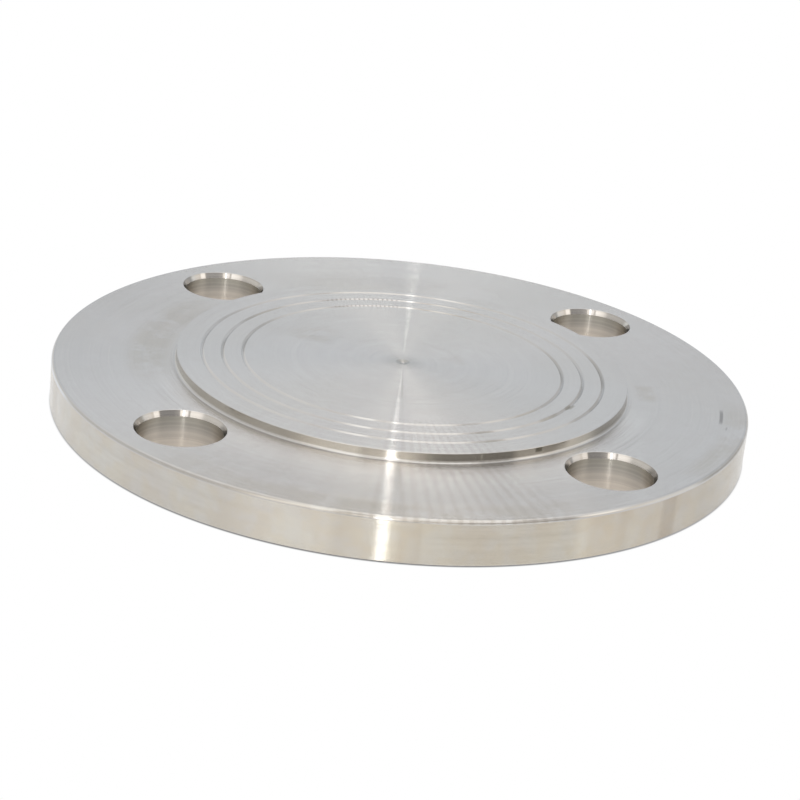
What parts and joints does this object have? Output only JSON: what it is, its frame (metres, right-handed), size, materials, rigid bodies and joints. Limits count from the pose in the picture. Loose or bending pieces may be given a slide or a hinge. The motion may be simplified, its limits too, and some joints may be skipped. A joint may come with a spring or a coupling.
{
  "type": "blind flange",
  "caption": "Turned stainless steel blind flange: a solid round plate with a grooved raised sealing face and a circle of chamfered bolt holes.",
  "frame": {"origin": "centre of the flat back face", "axes": "+Z along the flange's axis, out through the raised sealing face; the bolt holes straddle the X and Y axes"},
  "size_m": [0.154, 0.154, 0.012],
  "materials": {
    "stainless_steel": "lathe-turned, fine concentric marks"
  },
  "bodies": {
    "root": {"blind_flange": "stainless_steel"}
  },
  "joints": []
}
